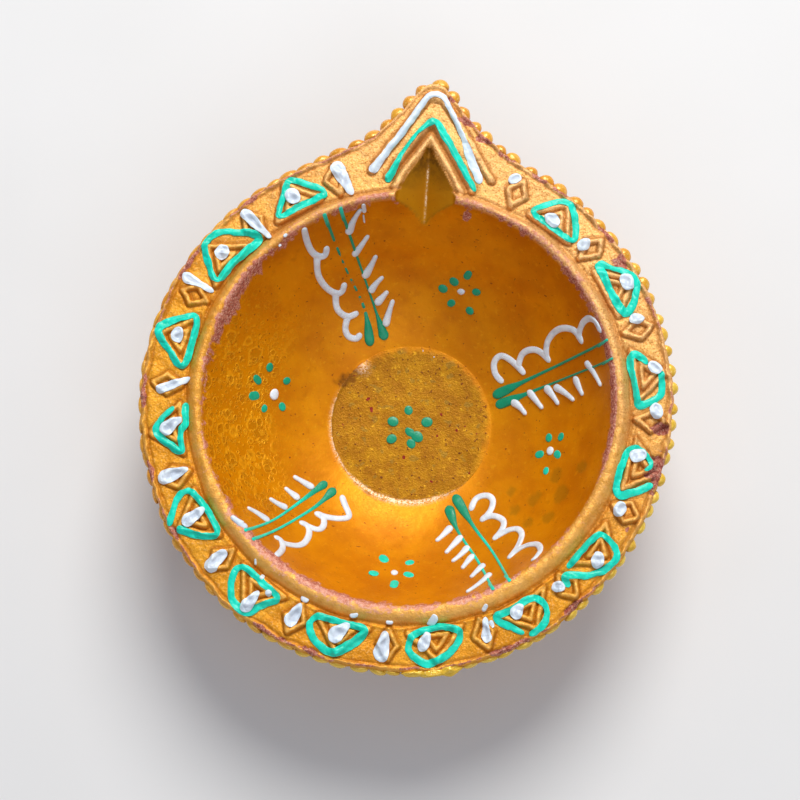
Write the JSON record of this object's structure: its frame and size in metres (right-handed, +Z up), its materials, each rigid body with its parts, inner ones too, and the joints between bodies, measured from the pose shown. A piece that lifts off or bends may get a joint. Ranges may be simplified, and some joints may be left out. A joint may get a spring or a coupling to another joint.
{
  "type": "diya oil lamp",
  "caption": "Round painted clay oil lamp bowl with a pointed wick spout, a moulded beaded rim and raised piped paint decoration.",
  "frame": {"origin": "centre of the foot's flat resting face, on the bowl's axis", "axes": "+Z up along the bowl's axis, +Y towards the wick spout, +X across the bowl"},
  "size_m": [0.0815, 0.092, 0.0252],
  "materials": {
    "painted_clay": "pearl gold-orange paint over fired terracotta, satin",
    "turquoise_paint": "thick piped acrylic, glossy",
    "white_paint": "thick piped acrylic, satin gloss"
  },
  "bodies": {
    "root": {"clay_body": "painted_clay", "diamond_drop_01": "white_paint", "diamond_drop_02": "white_paint", "diamond_drop_03": "white_paint", "diamond_drop_04": "white_paint", "diamond_drop_05": "white_paint", "diamond_drop_06": "white_paint", "diamond_drop_07": "white_paint", "diamond_drop_08": "white_paint", "diamond_drop_09": "white_paint", "diamond_drop_10": "white_paint", "diamond_drop_11": "white_paint", "diamond_drop_12": "white_paint", "diamond_drop_13": "white_paint", "diamond_drop_14": "white_paint", "diamond_drop_15": "white_paint", "spout_chevron_turquoise": "turquoise_paint", "spout_chevron_white": "white_paint", "sprig_1_scallops": "white_paint", "sprig_1_stem_a": "turquoise_paint", "sprig_1_stem_b": "turquoise_paint", "sprig_2_scallops": "white_paint", "sprig_2_stem_a": "turquoise_paint", "sprig_2_stem_b": "turquoise_paint", "sprig_3_scallops": "white_paint", "sprig_3_stem_a": "turquoise_paint", "sprig_3_stem_b": "turquoise_paint", "sprig_4_scallops": "white_paint", "sprig_4_stem_a": "turquoise_paint", "sprig_4_stem_b": "turquoise_paint", "triangle_drop_01": "white_paint", "triangle_drop_02": "white_paint", "triangle_drop_03": "white_paint", "triangle_drop_04": "white_paint", "triangle_drop_05": "white_paint", "triangle_drop_06": "white_paint", "triangle_drop_07": "white_paint", "triangle_drop_08": "white_paint", "triangle_drop_09": "white_paint", "triangle_drop_10": "white_paint", "triangle_drop_11": "white_paint", "triangle_drop_12": "white_paint", "triangle_drop_13": "white_paint", "triangle_drop_14": "white_paint", "triangle_line_01": "turquoise_paint", "triangle_line_02": "turquoise_paint", "triangle_line_03": "turquoise_paint", "triangle_line_04": "turquoise_paint", "triangle_line_05": "turquoise_paint", "triangle_line_06": "turquoise_paint", "triangle_line_07": "turquoise_paint", "triangle_line_08": "turquoise_paint", "triangle_line_09": "turquoise_paint", "triangle_line_10": "turquoise_paint", "triangle_line_11": "turquoise_paint", "triangle_line_12": "turquoise_paint", "triangle_line_13": "turquoise_paint", "triangle_line_14": "turquoise_paint"}
  },
  "joints": []
}
